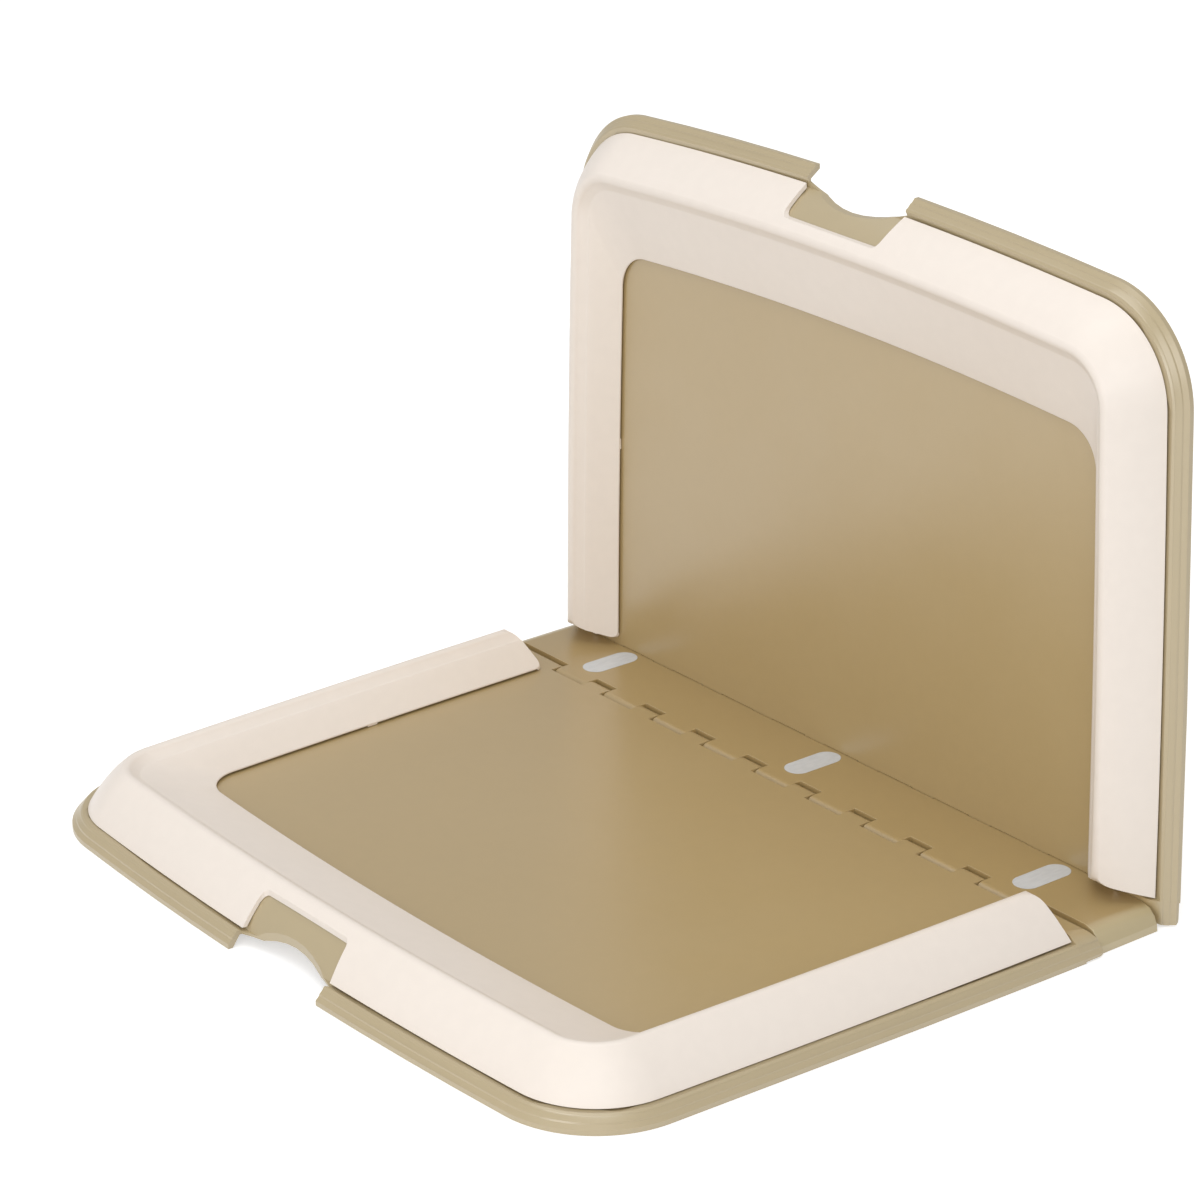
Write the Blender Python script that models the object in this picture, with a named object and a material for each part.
"""Foldable dog potty tray: two equal half trays on a flat spine, each with a U-shaped pad frame.

Lengths are in metres and +Z is up. At rest one half lies on the floor (the base), the spine
lies flat behind it and the second half (the lid) stands upright on the spine's far edge.
The X axis runs along the two hinges, from left to right as seen from the base's outer end.

A half tray is drawn in its own frame: its hinge axis is the X axis through its origin, its
depth runs along -Y, away from the hinge, and heights are measured from its rim's foot, which
lies AXIS_HEIGHT under the hinge axis. Sections of the rim and of the pad frame are drawn as
(inset, height), where the inset is the distance in from the rim's foot.
"""

import math

import bmesh
import bpy
from mathutils import Matrix, Vector

# Half tray in plan
TRAY_WIDTH = 0.480            # along the hinge
TRAY_DEPTH = 0.3226           # from the hinge axis to the middle of the outer end
SIDE_TAPER = 0.0038           # steady draw-in of each side towards the outer end
SIDE_BOW = 0.0066             # growing draw-in of each side, which bows it
END_BOW = 0.0114              # how far the outer end falls back at its corners
CORNER_RADIUS = 0.057         # outer corners, at the rim's foot
MIN_CORNER_RADIUS = 0.021     # the tightest corner of any inner edge

# Half tray in section
PAN_HEIGHT = 0.0123           # pan's top over the floor
WALL = 0.0024                 # wall of the pan, rim and skirt
SKIRT_WIDTH = 0.0088          # from the rim's foot in to the ledge's inner end
LEDGE_HEIGHT = 0.00865        # ledge under the frame's edge
SKIRT_STEP_SHARES = (         # outside of the stepped skirt, as (width share, height share)
    (0.00, 0.00), (0.00, 0.30), (0.24, 0.37), (0.27, 0.62), (0.49, 0.70), (0.52, 0.91), (0.64, 1.00))
SKIRT_INNER_SHARES = ((0.78, 0.68), (0.30, 0.00))   # inside of the skirt, its top then its foot
RIDGE_TOP_WIDTH = 0.0055      # flat top of the raised rim under the frame
RIDGE_INNER_DRAFT = 0.0022    # how far the raised rim's inner wall leans
SHOULDER_WIDTH = 0.0042       # slope from the ledge up to the pan, under the frame's arm ends
RAMP_START = 0.0235           # the raised rim begins here, from the hinge axis
RAMP_LENGTH = 0.0100          # and is at its full height after this

# Rounded ends beside the hinges, on the spine and on the half trays
END_FOOT_INSET = 0.0026
END_ROUND_WIDTH = 0.0115
END_ROUND_SHARES = (          # as (width share, height share)
    (0.00, 0.00), (0.05, 0.30), (0.22, 0.62), (0.52, 0.88), (1.00, 1.00))
END_BLOCK_LENGTH = 0.0074     # half tray's rounded end, from the hinge axis
END_BLOCK_DRAFT = 0.0003

# Pad frame in section
FRAME_WALL = 0.0022
SEAT_GAP = 0.00035            # between the frame and the half tray that it sits on
EDGE_INSET = 0.0086           # frame's outer edge, in from the rim's foot
CREST_INSET = 0.0276          # where the outer slope would meet the crest's height
CREST_HEIGHT = 0.0320
CREST_RADIUS = 0.0045
CREST_SPAN = (math.radians(127), math.radians(35))    # of the crest's round, outside to inside
SLOPE_FULLNESS = 0.39         # how far the outer slope swells over a straight line
SLOPE_SHARES = (0.0, 0.24, 0.48, 0.72)                # points along the outer slope
CREASE_RUN = 0.0060           # crease, in from the middle of the crest's round
CREASE_DROP = 0.0043          # and down from the crest
BAND_RUN = 0.0085             # start of the inner band, from the same places
BAND_DROP = 0.0049
LIP_INSET_SIDE = 0.0500       # inner edge of the frame's arms
LIP_INSET_END = 0.0757        # inner edge at the outer end
LIP_BOTTOM = 0.0144
LIP_EDGE_HEIGHT = 0.0010      # upright inner edge of the band
LIP_ROUND = 0.0007

# Pad frame's arm ends, lugs and hooks
ARM_END = 0.0080              # arm's end at the frame's edge, from the hinge axis
ARM_END_LEAN = 0.57           # how far the arm's end falls back for each unit of height
ARM_CORNER_RADIUS = 0.0080    # inner corner of the arm's end
END_WALL_RECESS = 0.0003      # closing wall, in from the arm's end
LUG_DEPTH = 0.1280            # small feet under the lip, from the hinge axis
LUG_LENGTH = 0.0060
LUG_WIDTH = 0.0020
LUG_RECESS = 0.0003
HOOK_INSET = 0.0305           # small hooks at the arms' ends
HOOK_START = 0.0064           # from the hinge axis
HOOK_WIDTH = 0.0030
HOOK_HEIGHT = 0.0020

# Carrying notch
NOTCH_INNER_HALF = 0.0362
NOTCH_OUTER_HALF = 0.0388
NOTCH_DEPTH = 0.0226          # frame's notch, in from the rim's foot
NOTCH_CORNER = 0.0040
GRIP_HALF = 0.0375            # gap in the rim
GRIP_SHALLOW = 0.0086         # depth of the grip's hollow at its ends
GRIP_DEEP = 0.0155            # and in its middle

# Clip hinges
KNUCKLE_RADIUS = 0.0057
KNUCKLE_TOE_RADIUS = 0.0024   # lower outer corner of the half tray's knuckles
KNUCKLE_ROOT = 0.0014         # how far a knuckle reaches into its own plate
HINGE_GAP = 0.0003            # round the knuckles, to the facing plate
CLOSED_GAP = 0.0008           # between the two crests when folded shut
TAB_PITCH = 0.0431
TAB_WIDTH = 0.0261
TAB_COUNT = 9
TAB_SIDE_GAP = 0.0004
BAR_RADIUS = 0.0022           # hinge bar, moulded on the half trays
BAR_CLEARANCE = 0.00035
CLIP_MOUTH_HALF = 0.0019      # mouth of the spine's clips

# Underside
SPINE_POCKETS = 8
RIB_WIDTH = 0.0020
RIB_FOOT = 0.0052             # ribs' lower edge over the floor
RIB_SIDE_OFFSET = 0.088
RIB_ROWS = (0.100, 0.205)     # cross ribs, from the hinge axis
RIB_END_INSET = 0.0400        # ribs' ends, in from the tray's sides and outer end
FOOT_RADIUS = 0.0060
FOOT_HEIGHT = 0.0040
FOOT_CHAMFER = 0.0006
FOOT_GAP = 0.0003
BOSS_WALL = 0.0020
BOSS_RISE = 0.0008            # bosses' lower edge over the floor
TRAY_FEET = ((0.092, 0.058), (0.102, 0.262))    # (inset from the side at the hinge, depth), both sides
SPINE_FOOT_INSET = 0.044

# Shared
OVERRUN = 0.002               # how far a cut runs past what it cuts
WELD = 0.000001
SIDE_STEPS, CORNER_STEPS, END_STEPS = 3, 8, 5
CREST_STEPS, GRIP_STEPS, NOTCH_STEPS, ARM_CORNER_STEPS = 4, 10, 3, 4
KNUCKLE_STEPS, TOE_STEPS, CLIP_STEPS, BORE_STEPS = 6, 3, 6, 12
BAR_SEGMENTS, FOOT_SEGMENTS = 16, 20
SMOOTH_ANGLE = math.radians(32)
QUARTER = math.radians(90)

# Places that follow from the sizes
AXIS_HEIGHT = PAN_HEIGHT - KNUCKLE_RADIUS
HINGE_CUT = KNUCKLE_RADIUS + HINGE_GAP
HINGE_SPACING = 2 * (CREST_HEIGHT - AXIS_HEIGHT) + CLOSED_GAP
HALF_WIDTH = TRAY_WIDTH / 2
REACH = TRAY_DEPTH - END_BOW * (GRIP_HALF / HALF_WIDTH) ** 2    # to the rim beside the grip
ORIGIN_Y = (REACH - HINGE_SPACING - AXIS_HEIGHT) / 2            # hinge axis, from the middle
EDGE_HEIGHT = LEDGE_HEIGHT + SEAT_GAP


def clear_scene():
    for item in list(bpy.data.objects):
        bpy.data.objects.remove(item, do_unlink=True)


def new_collection(name):
    collection = bpy.data.collections.new(name)
    bpy.context.scene.collection.children.link(collection)
    return collection


# Materials

def plastic(name, colour, roughness):
    """A Principled material with one colour."""
    material = bpy.data.materials.new(name)
    material.use_nodes = True
    shader = material.node_tree.nodes["Principled BSDF"]
    shader.inputs["Base Color"].default_value = (*colour, 1.0)
    shader.inputs["Roughness"].default_value = roughness
    shader.inputs["Metallic"].default_value = 0.0
    material.diffuse_color = (*colour, 1.0)
    return material


def tan_plastic():
    return plastic("tan plastic", (0.434, 0.323, 0.150), 0.30)


def spine_plastic():
    return plastic("spine plastic", (0.390, 0.280, 0.120), 0.32)


def cream_plastic():
    return plastic("cream plastic", (0.871, 0.791, 0.716), 0.38)


def foot_rubber():
    return plastic("foot rubber", (0.060, 0.058, 0.055), 0.85)


# Mesh helpers

def mesh_from(bm, name):
    """A mesh from a bmesh, with its faces pointing out."""
    bmesh.ops.recalc_face_normals(bm, faces=bm.faces)
    mesh = bpy.data.meshes.new(name)
    bm.to_mesh(mesh)
    bm.free()
    return mesh


def evaluated_mesh(item, name):
    """The mesh of an object with its modifiers, in its own frame."""
    item = item.evaluated_get(bpy.context.evaluated_depsgraph_get())
    mesh = bpy.data.meshes.new_from_object(item)
    mesh.name = name
    return mesh


def slab(name, outline, start, end, turn):
    """A flat outline of (u, v) points made solid from start to end along w; turn places u, v, w."""
    curve = bpy.data.curves.new(name, 'CURVE')
    curve.dimensions = '2D'
    curve.fill_mode = 'BOTH'
    curve.extrude = (end - start) / 2
    spline = curve.splines.new('POLY')
    spline.points.add(len(outline) - 1)
    for point, (u, v) in zip(spline.points, outline):
        point.co = (u, v, 0, 1)
    spline.use_cyclic_u = True
    item = bpy.data.objects.new(name, curve)
    bpy.context.scene.collection.objects.link(item)
    flat = evaluated_mesh(item, name)
    bpy.data.objects.remove(item, do_unlink=True)
    bpy.data.curves.remove(curve)
    bm = bmesh.new()
    bm.from_mesh(flat)
    bpy.data.meshes.remove(flat)
    bmesh.ops.remove_doubles(bm, verts=bm.verts, dist=WELD)
    centred = Matrix.Translation((0, 0, (start + end) / 2))
    bmesh.ops.transform(bm, verts=bm.verts, matrix=turn @ centred)
    return mesh_from(bm, name)


def upright_slab(name, outline, start, end):
    """A plan outline of (x, depth) points, from start to end in height over the hinge axis."""
    return slab(name, [(x, -depth) for x, depth in outline], start, end, Matrix.Identity(4))


def cross_slab(name, outline, start, end):
    """A section of (y, z) points, from start to end along X."""
    turn = Matrix(((0, 0, 1, 0), (1, 0, 0, 0), (0, 1, 0, 0), (0, 0, 0, 1)))
    return slab(name, outline, start, end, turn)


def long_slab(name, outline, start, end):
    """A section of (x, z) points, from start to end along Y."""
    turn = Matrix(((1, 0, 0, 0), (0, 0, 1, 0), (0, 1, 0, 0), (0, 0, 0, 1)))
    return slab(name, outline, start, end, turn)


def box(name, low, high):
    """An upright box between two corners."""
    low, high = Vector(low), Vector(high)
    bm = bmesh.new()
    bmesh.ops.create_cube(bm, size=1)
    bmesh.ops.scale(bm, verts=bm.verts, vec=high - low)
    bmesh.ops.translate(bm, verts=bm.verts, vec=(high + low) / 2)
    return mesh_from(bm, name)


def bar(name, radius, start, end, segments):
    """A round bar between two points."""
    start, end = Vector(start), Vector(end)
    along = end - start
    bm = bmesh.new()
    bmesh.ops.create_cone(bm, cap_ends=True, segments=segments, radius1=radius, radius2=radius,
                          depth=along.length)
    turn = Vector((0, 0, 1)).rotation_difference(along).to_matrix().to_4x4()
    bmesh.ops.transform(bm, verts=bm.verts, matrix=Matrix.Translation((start + end) / 2) @ turn)
    return mesh_from(bm, name)


def joined(name, meshes):
    """Meshes that stay clear of each other, as one mesh."""
    bm = bmesh.new()
    for mesh in meshes:
        bm.from_mesh(mesh)
        bpy.data.meshes.remove(mesh)
    return mesh_from(bm, name)


def mirrored(name, mesh):
    """A mesh together with its mirror image across the tray's middle."""
    bm = bmesh.new()
    bm.from_mesh(mesh)
    bm.from_mesh(mesh)
    half = len(bm.verts) // 2
    for vertex in list(bm.verts)[half:]:
        vertex.co.x = -vertex.co.x
    bpy.data.meshes.remove(mesh)
    return mesh_from(bm, name)


def guide(mesh, guides):
    """A form or cutter that only shapes other pieces."""
    item = bpy.data.objects.new(mesh.name, mesh)
    item.display_type = 'WIRE'
    item.hide_render = True
    guides.objects.link(item)
    return item


def shape(form, tool, operation):
    """Adds one Boolean of the tool to the form."""
    step = form.modifiers.new(tool.name, 'BOOLEAN')
    step.operation = operation
    step.object = tool
    step.solver = 'EXACT'


# Plan curves

def side_x(depth, inset):
    """Half width of the tray at a depth, less an inset."""
    share = depth / TRAY_DEPTH
    return HALF_WIDTH - inset - SIDE_TAPER * share - SIDE_BOW * share ** 2


def side_slope(depth):
    return -(SIDE_TAPER + 2 * SIDE_BOW * depth / TRAY_DEPTH) / TRAY_DEPTH


def end_depth(x, inset):
    """Depth of the outer end's edge at x, less an inset."""
    return TRAY_DEPTH - inset - END_BOW * (x / HALF_WIDTH) ** 2


def end_slope(x):
    return -2 * END_BOW * x / HALF_WIDTH ** 2


def corner_centre(side_inset, end_inset, radius):
    """Centre of the round that is tangent to the side and to the outer end."""
    x, depth = HALF_WIDTH - side_inset - radius, TRAY_DEPTH - end_inset - radius
    for _ in range(12):
        x = side_x(depth, side_inset) - radius * math.hypot(1, side_slope(depth))
        depth = end_depth(x, end_inset) - radius * math.hypot(1, end_slope(x))
    return x, depth


def u_path(side_inset, end_inset, first_depths):
    """A U from the left hinge end round the outer end to the right, as (x, depth) points."""
    radius = max(CORNER_RADIUS - (side_inset + end_inset) / 2, MIN_CORNER_RADIUS)
    cx, cd = corner_centre(side_inset, end_inset, radius)
    first = math.atan2(-side_slope(cd), 1)
    last = math.atan2(1, -end_slope(cx))
    side_end = cd + radius * math.sin(first)
    ramp_end = first_depths[-1]
    even = [ramp_end + (side_end - ramp_end) * i / SIDE_STEPS for i in range(1, SIDE_STEPS)]
    half = [(side_x(depth, side_inset), depth) for depth in list(first_depths) + even]
    for i in range(CORNER_STEPS + 1):
        angle = first + (last - first) * i / CORNER_STEPS
        half.append((cx + radius * math.cos(angle), cd + radius * math.sin(angle)))
    end_x = half[-1][0]
    for i in range(1, END_STEPS + 1):
        x = end_x * (1 - i / END_STEPS)
        half.append((x, end_depth(x, end_inset)))
    return [(-x, depth) for x, depth in half[:-1]] + half[::-1]


def loft(rings):
    """A closed solid from the lines of a section, each a ring of points round the U."""
    bm = bmesh.new()
    rings = [[bm.verts.new(point) for point in ring] for ring in rings]
    for ring, following in zip(rings, rings[1:] + rings[:1]):
        for j in range(len(ring) - 1):
            bm.faces.new((ring[j], ring[j + 1], following[j + 1], following[j]))
    for end in (0, -1):
        bm.faces.new([ring[end] for ring in rings])
    return bm, rings


# Section curves

def offset_line(points, distance):
    """The line moved square to itself towards its underside, with mitred bends."""
    normals = []
    for a, b in zip(points, points[1:]):
        along = (b - a).normalized()
        normals.append(Vector((along.y, -along.x)))
    moved = [points[0] + distance * normals[0]]
    for i in range(1, len(points) - 1):
        bend = (normals[i - 1] + normals[i]).normalized()
        moved.append(points[i] + bend * distance / bend.dot(normals[i]))
    moved.append(points[-1] + distance * normals[-1])
    return moved


def at_height(a, b, height):
    """The point at a height on the line through a and b."""
    share = (height - a.y) / (b.y - a.y)
    return a + (b - a) * share


def frame_slope():
    """The frame's outer slope, below its crest."""
    points = []
    for share in SLOPE_SHARES:
        rise = share + SLOPE_FULLNESS * share * (1 - share)
        points.append(Vector((EDGE_INSET + (CREST_INSET - EDGE_INSET) * share,
                              EDGE_HEIGHT + (CREST_HEIGHT - EDGE_HEIGHT) * rise)))
    return points


def frame_surface(lip_inset):
    """The frame's outer surface from its edge over the crest and the crease to its lip."""
    points = frame_slope()
    middle = Vector((CREST_INSET + CREST_RADIUS / 3, CREST_HEIGHT - CREST_RADIUS))
    start, end = CREST_SPAN
    for i in range(CREST_STEPS + 1):
        angle = start + (end - start) * i / CREST_STEPS
        points.append(middle + CREST_RADIUS * Vector((math.cos(angle), math.sin(angle))))
    top = Vector((middle.x, CREST_HEIGHT))
    lip_top = LIP_BOTTOM + LIP_EDGE_HEIGHT
    points.append(top + Vector((CREASE_RUN, -CREASE_DROP)))
    points.append(top + Vector((BAND_RUN, -BAND_DROP)))
    points.append(Vector((lip_inset - LIP_ROUND, lip_top + LIP_ROUND)))
    points.append(Vector((lip_inset, lip_top)))
    return points


def frame_section(lip_inset):
    """The frame's closed section: its outer surface, its lip's edge and its underside."""
    surface = frame_surface(lip_inset)
    under = offset_line(surface[:-1], FRAME_WALL)
    under[0] = at_height(under[0], under[1], EDGE_HEIGHT)
    under[-1] = at_height(under[-2], under[-1], LIP_BOTTOM)
    return surface + [Vector((lip_inset, LIP_BOTTOM))] + under[::-1]


def rim_slope(extra):
    """The raised rim's outer slope: under the frame by the frame's wall and the seat gap."""
    return offset_line(frame_slope(), FRAME_WALL + SEAT_GAP + extra)


def slope_foot():
    slope = rim_slope(0)
    return at_height(slope[0], slope[1], LEDGE_HEIGHT)


def low_height(inset):
    """Height of the half tray under the frame's arm ends, where no raised rim stands."""
    rise = (PAN_HEIGHT - LEDGE_HEIGHT) * (inset - slope_foot().x) / SHOULDER_WIDTH
    return min(PAN_HEIGHT, LEDGE_HEIGHT + max(0.0, rise))


def end_round():
    """The rounded end's section from its foot to its flat top, as (inset, height) points."""
    return [Vector((END_FOOT_INSET + END_ROUND_WIDTH * u, PAN_HEIGHT * v))
            for u, v in END_ROUND_SHARES]


def block_height(inset):
    """Height of the rounded end at an inset."""
    points = end_round()
    for a, b in zip(points, points[1:]):
        if inset <= b.x:
            return a.y + (b.y - a.y) * (inset - a.x) / (b.x - a.x)
    return PAN_HEIGHT


def tray_section():
    """The rim's lines, over the top and back under, as (inset, (block, low, full) heights)."""
    slope, ridge_top = rim_slope(0), rim_slope(0)[-1]
    ridge_inner = ridge_top + Vector((RIDGE_TOP_WIDTH, 0))
    wall_foot = Vector((ridge_inner.x + RIDGE_INNER_DRAFT, PAN_HEIGHT))
    skirt = [Vector((SKIRT_WIDTH * u, LEDGE_HEIGHT * v)) for u, v in SKIRT_STEP_SHARES]
    top = [(p.x, (p.y, p.y, p.y)) for p in skirt]
    top += [(p.x, (block_height(p.x), low_height(p.x), p.y))
            for p in [slope_foot()] + slope[1:] + [ridge_inner, wall_foot]]

    floor_under = PAN_HEIGHT - WALL
    inner_top, inner_foot = (Vector((SKIRT_WIDTH * u, LEDGE_HEIGHT * v)) for u, v in SKIRT_INNER_SHARES)
    under_slope = rim_slope(WALL)
    slope_top = at_height(under_slope[-2], under_slope[-1], ridge_top.y - WALL)
    foot_under = at_height(under_slope[0], under_slope[1], inner_top.y)
    raised = [Vector((wall_foot.x - WALL, floor_under)), Vector((ridge_inner.x - WALL, slope_top.y)),
              slope_top] + under_slope[-2:0:-1]
    under = [(p.x, (block_height(p.x) - WALL, low_height(p.x) - WALL, p.y)) for p in raised]
    under += [(p.x, (p.y, p.y, p.y)) for p in (foot_under, inner_top, inner_foot)]
    return top, under


# Half tray

def tray_shell():
    """Skirt, raised rim and pan as one shell, with a straight edge at the hinge."""
    top, under = tray_section()
    block_end, ramp_end = END_BLOCK_LENGTH + END_BLOCK_DRAFT, RAMP_START + RAMP_LENGTH
    first_depths = (HINGE_CUT, END_BLOCK_LENGTH, block_end, RAMP_START, ramp_end)
    first_kinds = [0, 0, 1, 1]
    rings = []
    for inset, heights in top + under:
        path = u_path(inset, inset, first_depths)
        kinds = first_kinds + [2] * (len(path) - 2 * len(first_kinds)) + first_kinds[::-1]
        rings.append([(x, -depth, heights[kind] - AXIS_HEIGHT)
                      for (x, depth), kind in zip(path, kinds)])
    bm, rings = loft(rings)
    pan_top, pan_under = rings[len(top) - 1], rings[len(top)]
    between = [face for face in bm.faces
               if len(face.verts) == 4 and all(v in pan_top or v in pan_under for v in face.verts)]
    bmesh.ops.delete(bm, geom=between, context='FACES_ONLY')
    bm.faces.new(pan_top)
    bm.faces.new(pan_under)
    bm.faces.new((pan_top[0], pan_top[-1], pan_under[-1], pan_under[0]))
    return mesh_from(bm, "half tray form")


def grip_outline():
    """Plan of the grip's gap: straight through the rim, with a hollow inner edge."""
    sagitta = GRIP_DEEP - GRIP_SHALLOW
    radius = (GRIP_HALF ** 2 + sagitta ** 2) / (2 * sagitta)
    reach = math.asin(GRIP_HALF / radius)
    outer = TRAY_DEPTH + OVERRUN
    points = [(GRIP_HALF, outer), (-GRIP_HALF, outer)]
    for i in range(GRIP_STEPS + 1):
        angle = -reach + 2 * reach * i / GRIP_STEPS
        depth = TRAY_DEPTH - GRIP_DEEP + radius * (1 - math.cos(angle))
        points.append((radius * math.sin(angle), depth))
    return points


def notch_outline():
    """Plan of the frame's notch, with rounded inner corners."""
    inner = TRAY_DEPTH - NOTCH_DEPTH
    half = [(NOTCH_OUTER_HALF, TRAY_DEPTH + OVERRUN)]
    for i in range(NOTCH_STEPS + 1):
        angle = QUARTER * i / NOTCH_STEPS
        half.append((NOTCH_INNER_HALF - NOTCH_CORNER * (1 - math.cos(angle)),
                     inner + NOTCH_CORNER * (1 - math.sin(angle))))
    return half + [(-x, depth) for x, depth in half[::-1]]


def plan_cutter(name, outline):
    """A cutter of a plan outline through the whole height."""
    return upright_slab(name, outline, -AXIS_HEIGHT - OVERRUN, CREST_HEIGHT + OVERRUN)


def knuckle_outline():
    """A half tray's knuckle in section: round above towards the spine, with a rounded toe below."""
    back = -(HINGE_CUT + KNUCKLE_ROOT)
    toe = KNUCKLE_RADIUS - KNUCKLE_TOE_RADIUS
    points = [(back, -KNUCKLE_RADIUS), (back, KNUCKLE_RADIUS)]
    for i in range(KNUCKLE_STEPS + 1):
        angle = QUARTER * (1 - i / KNUCKLE_STEPS)
        points.append((KNUCKLE_RADIUS * math.cos(angle), KNUCKLE_RADIUS * math.sin(angle)))
    for i in range(TOE_STEPS + 1):
        angle = -QUARTER * i / TOE_STEPS
        points.append((toe + KNUCKLE_TOE_RADIUS * math.cos(angle),
                       -toe + KNUCKLE_TOE_RADIUS * math.sin(angle)))
    return points


def tab_centres():
    return [TAB_PITCH * (i - (TAB_COUNT - 1) / 2) for i in range(TAB_COUNT)]


def knuckle_spans():
    """The stretches along X that a half tray's knuckles fill, between and beside the tabs."""
    reach = TAB_WIDTH / 2 + TAB_SIDE_GAP
    edges = [-HALF_WIDTH - OVERRUN]
    for centre in tab_centres():
        edges += [centre - reach, centre + reach]
    edges.append(HALF_WIDTH + OVERRUN)
    return list(zip(edges[0::2], edges[1::2]))


def end_form():
    """The half tray's rounded end section, which its outermost knuckles keep to."""
    top, _ = tray_section()
    half = [(HALF_WIDTH - inset, block - AXIS_HEIGHT) for inset, (block, _, _) in top]
    reach = HINGE_CUT + KNUCKLE_ROOT + OVERRUN
    return long_slab("end form", half + [(-x, z) for x, z in half[::-1]], -reach, reach)


def knuckles():
    section = knuckle_outline()
    return joined("knuckles", [cross_slab("knuckle", section, a, b) for a, b in knuckle_spans()])


def hinge_bar():
    """The bar that the spine's clips hold, between the outermost knuckles."""
    reach = tab_centres()[-1] + TAB_WIDTH
    return bar("hinge bar", BAR_RADIUS, (-reach, 0, 0), (reach, 0, 0), BAR_SEGMENTS)


def ribs_along():
    """Stiffening ribs under the pan that run away from the hinge."""
    low, high = RIB_FOOT - AXIS_HEIGHT, PAN_HEIGHT - WALL / 2 - AXIS_HEIGHT
    half = RIB_WIDTH / 2
    start, end = HINGE_CUT + WALL, TRAY_DEPTH - RIB_END_INSET
    return joined("ribs along", [box("rib", (x - half, -end, low), (x + half, -start, high))
                                 for x in (-RIB_SIDE_OFFSET, 0, RIB_SIDE_OFFSET)])


def ribs_across():
    low, high = RIB_FOOT - AXIS_HEIGHT, PAN_HEIGHT - WALL / 2 - AXIS_HEIGHT
    half = RIB_WIDTH / 2
    ribs = []
    for depth in RIB_ROWS:
        reach = side_x(depth, RIB_END_INSET)
        ribs.append(box("rib", (-reach, -depth - half, low), (reach, -depth + half, high)))
    return joined("ribs across", ribs)


def tray_foot_places():
    return [(side * (HALF_WIDTH - inset), -depth) for inset, depth in TRAY_FEET for side in (-1, 1)]


def spine_foot_places():
    return [(side * (HALF_WIDTH - SPINE_FOOT_INSET), HINGE_SPACING / 2) for side in (-1, 1)]


def bosses(places):
    """The cups that hold the feet, from the pan's middle down."""
    low, high = BOSS_RISE - AXIS_HEIGHT, PAN_HEIGHT - WALL / 2 - AXIS_HEIGHT
    radius = FOOT_RADIUS + FOOT_GAP + BOSS_WALL
    return joined("bosses", [bar("boss", radius, (x, y, low), (x, y, high), FOOT_SEGMENTS)
                             for x, y in places])


def sockets(places):
    low, high = -AXIS_HEIGHT - OVERRUN, FOOT_HEIGHT + FOOT_GAP - AXIS_HEIGHT
    radius = FOOT_RADIUS + FOOT_GAP
    return joined("sockets", [bar("socket", radius, (x, y, low), (x, y, high), FOOT_SEGMENTS)
                              for x, y in places])


def half_tray_mesh(guides):
    """The moulded half tray, with its knuckles, bar, ribs, bosses and grip."""
    row = guide(knuckles(), guides)
    shape(row, guide(end_form(), guides), 'INTERSECT')
    form = guide(tray_shell(), guides)
    shape(form, guide(plan_cutter("grip", grip_outline()), guides), 'DIFFERENCE')
    shape(form, row, 'UNION')
    places = tray_foot_places()
    for mesh in (hinge_bar(), ribs_along(), ribs_across(), bosses(places)):
        shape(form, guide(mesh, guides), 'UNION')
    shape(form, guide(sockets(places), guides), 'DIFFERENCE')
    return evaluated_mesh(form, "half tray")


# Pad frame

def frame_shell():
    """The frame's section swept round the U; its band widens from the arms to the outer end."""
    ramp_end = RAMP_START + RAMP_LENGTH
    rings = []
    for side, end in zip(frame_section(LIP_INSET_SIDE), frame_section(LIP_INSET_END)):
        path = u_path(side.x, end.x, (ARM_END - OVERRUN, ramp_end))
        rings.append([(x, -depth, side.y - AXIS_HEIGHT) for x, depth in path])
    bm, _ = loft(rings)
    return mesh_from(bm, "pad frame form")


def arm_end_line(offset):
    """Plan of the right arm's end at the frame's edge, from outside to inside, moved in by an offset."""
    radius = ARM_CORNER_RADIUS
    cx, cd = HALF_WIDTH - LIP_INSET_SIDE + radius, ARM_END + radius
    points = [(HALF_WIDTH, ARM_END + offset)]
    for i in range(ARM_CORNER_STEPS + 1):
        angle = QUARTER * i / ARM_CORNER_STEPS
        points.append((cx - (radius - offset) * math.sin(angle), cd - (radius - offset) * math.cos(angle)))
    return points


def leaned(mesh):
    """The mesh sheared along the arm's end, which falls back as it rises."""
    for vertex in mesh.vertices:
        vertex.co.y -= ARM_END_LEAN * (vertex.co.z - (EDGE_HEIGHT - AXIS_HEIGHT))
    return mesh


def arm_end_cutter():
    """What lies past the arm's end."""
    line = arm_end_line(0)
    inner = HALF_WIDTH - LIP_INSET_SIDE - 2 * OVERRUN
    outline = line + [(inner, line[-1][1]), (inner, -LIP_INSET_SIDE), (HALF_WIDTH, -LIP_INSET_SIDE)]
    return leaned(upright_slab("arm end cutter", outline, -AXIS_HEIGHT, CREST_HEIGHT))


def end_wall():
    """The wall that closes the right arm's end, following its rounded corner."""
    outline = arm_end_line(END_WALL_RECESS) + arm_end_line(END_WALL_RECESS + FRAME_WALL)[::-1]
    low, high = PAN_HEIGHT + SEAT_GAP - AXIS_HEIGHT, CREST_HEIGHT - AXIS_HEIGHT
    return leaned(upright_slab("end wall", outline, low, high))


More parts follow.
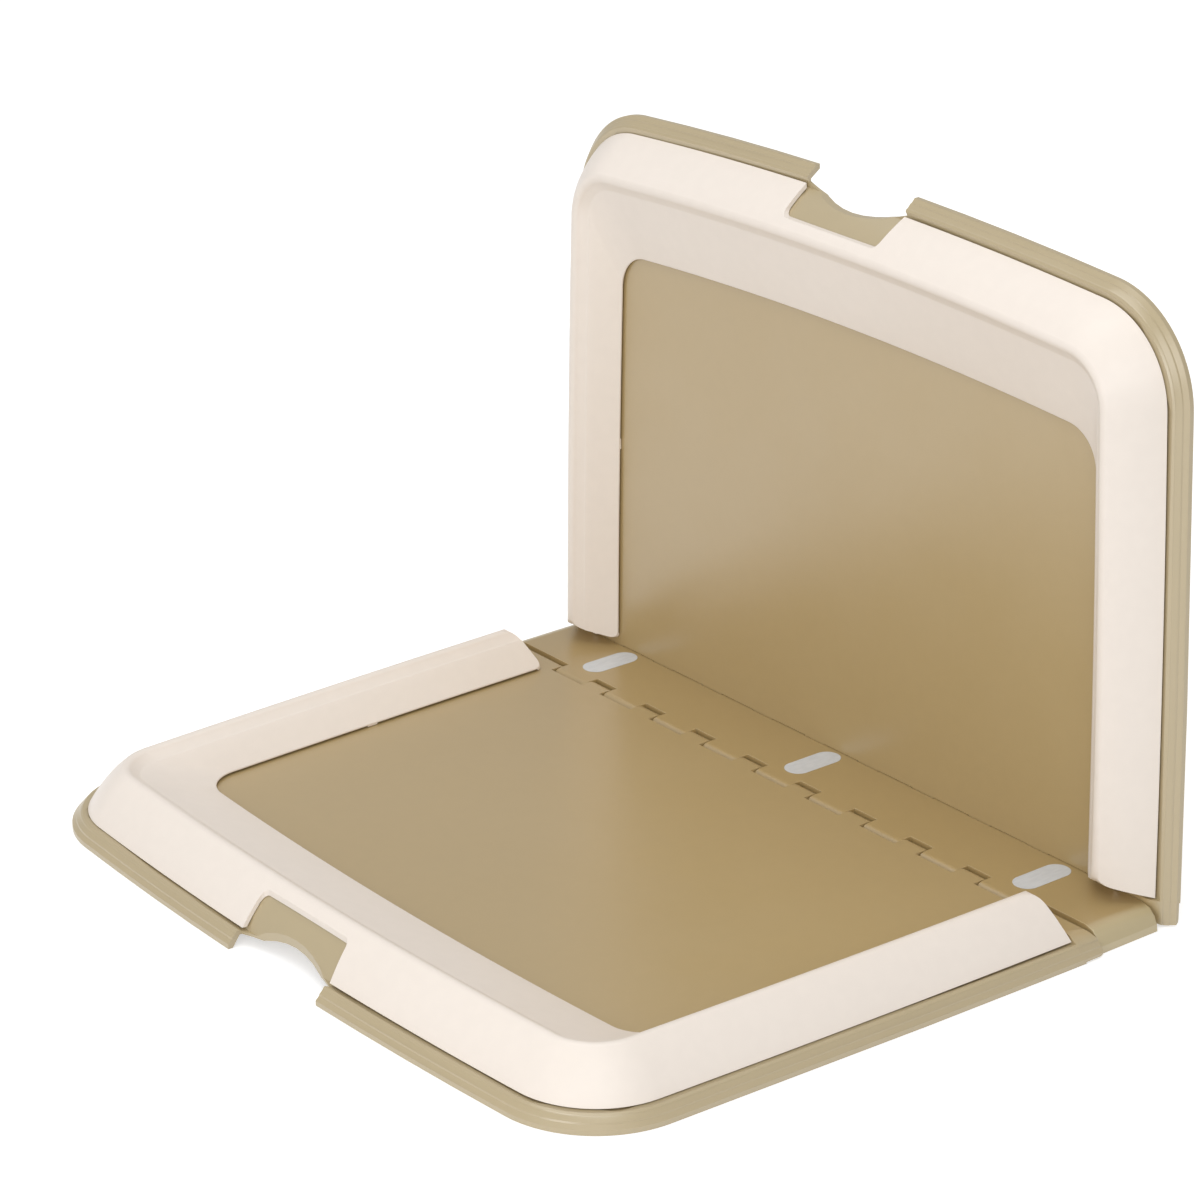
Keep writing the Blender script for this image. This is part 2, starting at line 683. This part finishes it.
def arm_core():
    """The right arm's filled section, to the middle of its wall, which limits the end wall."""
    middle = offset_line(frame_surface(LIP_INSET_SIDE)[:-1], FRAME_WALL / 2)
    inner = LIP_INSET_SIDE - END_WALL_RECESS
    section = middle[:-1] + [at_height(middle[-2], middle[-1], LIP_BOTTOM + LIP_EDGE_HEIGHT)]
    outline = [(HALF_WIDTH - p.x, p.y - AXIS_HEIGHT) for p in section]
    outline += [(HALF_WIDTH - inner, LIP_BOTTOM + LIP_EDGE_HEIGHT - AXIS_HEIGHT),
                (HALF_WIDTH - inner, -AXIS_HEIGHT), (HALF_WIDTH - EDGE_INSET, -AXIS_HEIGHT)]
    return long_slab("arm core", outline, -(RAMP_START + RAMP_LENGTH), 0)


def hook():
    """A small hook that stands on the pan before the arm's end."""
    x, half = HALF_WIDTH - HOOK_INSET, HOOK_WIDTH / 2
    low = PAN_HEIGHT + SEAT_GAP - AXIS_HEIGHT
    back = ARM_END + ARM_END_LEAN * (PAN_HEIGHT - EDGE_HEIGHT) + END_WALL_RECESS + FRAME_WALL
    return box("hook", (x - half, -back, low), (x + half, -HOOK_START, low + HOOK_HEIGHT))


def lug():
    """A small foot under the lip, halfway along the arm."""
    inner = side_x(LUG_DEPTH, LIP_INSET_SIDE - LUG_RECESS)
    low = PAN_HEIGHT + SEAT_GAP - AXIS_HEIGHT
    high = LIP_BOTTOM + LIP_EDGE_HEIGHT / 2 - AXIS_HEIGHT
    half = LUG_LENGTH / 2
    return box("lug", (inner, -LUG_DEPTH - half, low), (inner + LUG_WIDTH, -LUG_DEPTH + half, high))


def frame_mesh(guides):
    """The U-shaped pad frame with its notch, closed arm ends, lugs and hooks."""
    walls = guide(mirrored("end walls", end_wall()), guides)
    shape(walls, guide(mirrored("arm cores", arm_core()), guides), 'INTERSECT')
    form = guide(frame_shell(), guides)
    shape(form, guide(mirrored("arm end cutters", arm_end_cutter()), guides), 'DIFFERENCE')
    shape(form, guide(plan_cutter("notch", notch_outline()), guides), 'DIFFERENCE')
    shape(form, walls, 'UNION')
    for mesh in (mirrored("hooks", hook()), mirrored("lugs", lug())):
        shape(form, guide(mesh, guides), 'UNION')
    return evaluated_mesh(form, "pad frame")


# Spine

def spine_body():
    """The spine's solid: flat on top, with rounded ends."""
    half = [(HALF_WIDTH - p.x, p.y - AXIS_HEIGHT) for p in end_round()]
    outline = half + [(-x, z) for x, z in half[::-1]]
    return long_slab("spine form", outline, HINGE_CUT, HINGE_SPACING - HINGE_CUT)


def clip_outline(facing):
    """A clip in section: a hook round the hinge bar, open below; facing is its partner's side."""
    bore, root = BAR_RADIUS + BAR_CLEARANCE, HINGE_CUT + KNUCKLE_ROOT
    outer_end = QUARTER + math.acos(CLIP_MOUTH_HALF / KNUCKLE_RADIUS)
    bore_end = math.acos(CLIP_MOUTH_HALF / bore)
    points = [(root, -KNUCKLE_RADIUS), (root, KNUCKLE_RADIUS)]
    for i in range(CLIP_STEPS + 1):
        angle = QUARTER + outer_end * i / CLIP_STEPS
        points.append((KNUCKLE_RADIUS * math.cos(angle), KNUCKLE_RADIUS * math.sin(angle)))
    for i in range(BORE_STEPS + 1):
        angle = 2 * QUARTER + bore_end - (2 * QUARTER + 2 * bore_end) * i / BORE_STEPS
        points.append((bore * math.cos(angle), bore * math.sin(angle)))
    points.append((CLIP_MOUTH_HALF, -KNUCKLE_RADIUS))
    return [(-facing * y, z) for y, z in points]


def clips(name, axis_y, facing):
    section = [(axis_y + y, z) for y, z in clip_outline(facing)]
    half = TAB_WIDTH / 2
    return joined(name, [cross_slab("clip", section, x - half, x + half) for x in tab_centres()])


def spine_pockets():
    """Hollows under the spine, with a rib between each two."""
    low, high = -AXIS_HEIGHT - OVERRUN, PAN_HEIGHT - WALL - AXIS_HEIGHT
    edge = HINGE_CUT + KNUCKLE_ROOT + WALL / 2
    reach = HALF_WIDTH - END_FOOT_INSET - END_ROUND_WIDTH - WALL
    width = (2 * reach - RIB_WIDTH * (SPINE_POCKETS - 1)) / SPINE_POCKETS
    pockets = []
    for i in range(SPINE_POCKETS):
        x = -reach + i * (width + RIB_WIDTH)
        pockets.append(box("pocket", (x, edge, low), (x + width, HINGE_SPACING - edge, high)))
    return joined("pockets", pockets)


def spine_mesh(guides):
    """The spine: a shallow channel with clips along both long edges."""
    form = guide(spine_body(), guides)
    shape(form, guide(spine_pockets(), guides), 'DIFFERENCE')
    places = spine_foot_places()
    for mesh in (clips("base clips", 0, -1), clips("lid clips", HINGE_SPACING, 1), bosses(places)):
        shape(form, guide(mesh, guides), 'UNION')
    shape(form, guide(sockets(places), guides), 'DIFFERENCE')
    return evaluated_mesh(form, "spine")


# Feet

def foot_mesh():
    """A round rubber foot, its sole level with the rim's foot."""
    bm = bmesh.new()
    bmesh.ops.create_cone(bm, cap_ends=True, segments=FOOT_SEGMENTS, radius1=FOOT_RADIUS,
                          radius2=FOOT_RADIUS, depth=FOOT_HEIGHT)
    sole = [edge for edge in bm.edges if all(vertex.co.z < 0 for vertex in edge.verts)]
    bmesh.ops.bevel(bm, geom=sole, offset=FOOT_CHAMFER, segments=1, profile=0.5, affect='EDGES')
    return mesh_from(bm, "foot")


# Assembly

def pivot(name, location, rotation, parent, collection):
    """An empty that carries a body's pieces, on the hinge axis that the body turns about."""
    empty = bpy.data.objects.new(name, None)
    empty.location = location
    empty.rotation_euler = rotation
    empty.parent = parent
    collection.objects.link(empty)
    return empty


def piece(name, mesh, parent, collection, location=(0, 0, 0)):
    item = bpy.data.objects.new(name, mesh)
    item.location = location
    item.parent = parent
    collection.objects.link(item)


def feet(prefix, mesh, places, parent, collection):
    for i, (x, y) in enumerate(places, start=1):
        piece(f"{prefix}_{i}", mesh, parent, collection, (x, y, FOOT_HEIGHT / 2 - AXIS_HEIGHT))


def finish(mesh, material):
    """One material, smooth over the rounds and sharp at the edges."""
    mesh.materials.clear()
    mesh.materials.append(material)
    mesh.shade_smooth()
    mesh.set_sharp_from_angle(angle=SMOOTH_ANGLE)
    return mesh


def main():
    clear_scene()
    tray_parts = new_collection("foldable dog potty tray")
    guides = new_collection("forms and cutters")
    tray = finish(half_tray_mesh(guides), tan_plastic())
    frame = finish(frame_mesh(guides), cream_plastic())
    spine = finish(spine_mesh(guides), spine_plastic())
    foot = finish(foot_mesh(), foot_rubber())

    base = pivot("base_pivot", (0, ORIGIN_Y, AXIS_HEIGHT), (0, 0, 0), None, tray_parts)
    fold = pivot("spine_pivot", (0, 0, 0), (0, 0, 0), base, tray_parts)
    lid = pivot("lid_pivot", (0, HINGE_SPACING, 0), (-QUARTER, 0, 2 * QUARTER), fold, tray_parts)
    piece("base_tray", tray, base, tray_parts)
    piece("base_frame", frame, base, tray_parts)
    piece("spine", spine, fold, tray_parts)
    piece("lid_tray", tray, lid, tray_parts)
    piece("lid_frame", frame, lid, tray_parts)
    feet("base_foot", foot, tray_foot_places(), base, tray_parts)
    feet("spine_foot", foot, spine_foot_places(), fold, tray_parts)
    feet("lid_foot", foot, tray_foot_places(), lid, tray_parts)
    bpy.context.view_layer.update()


main()
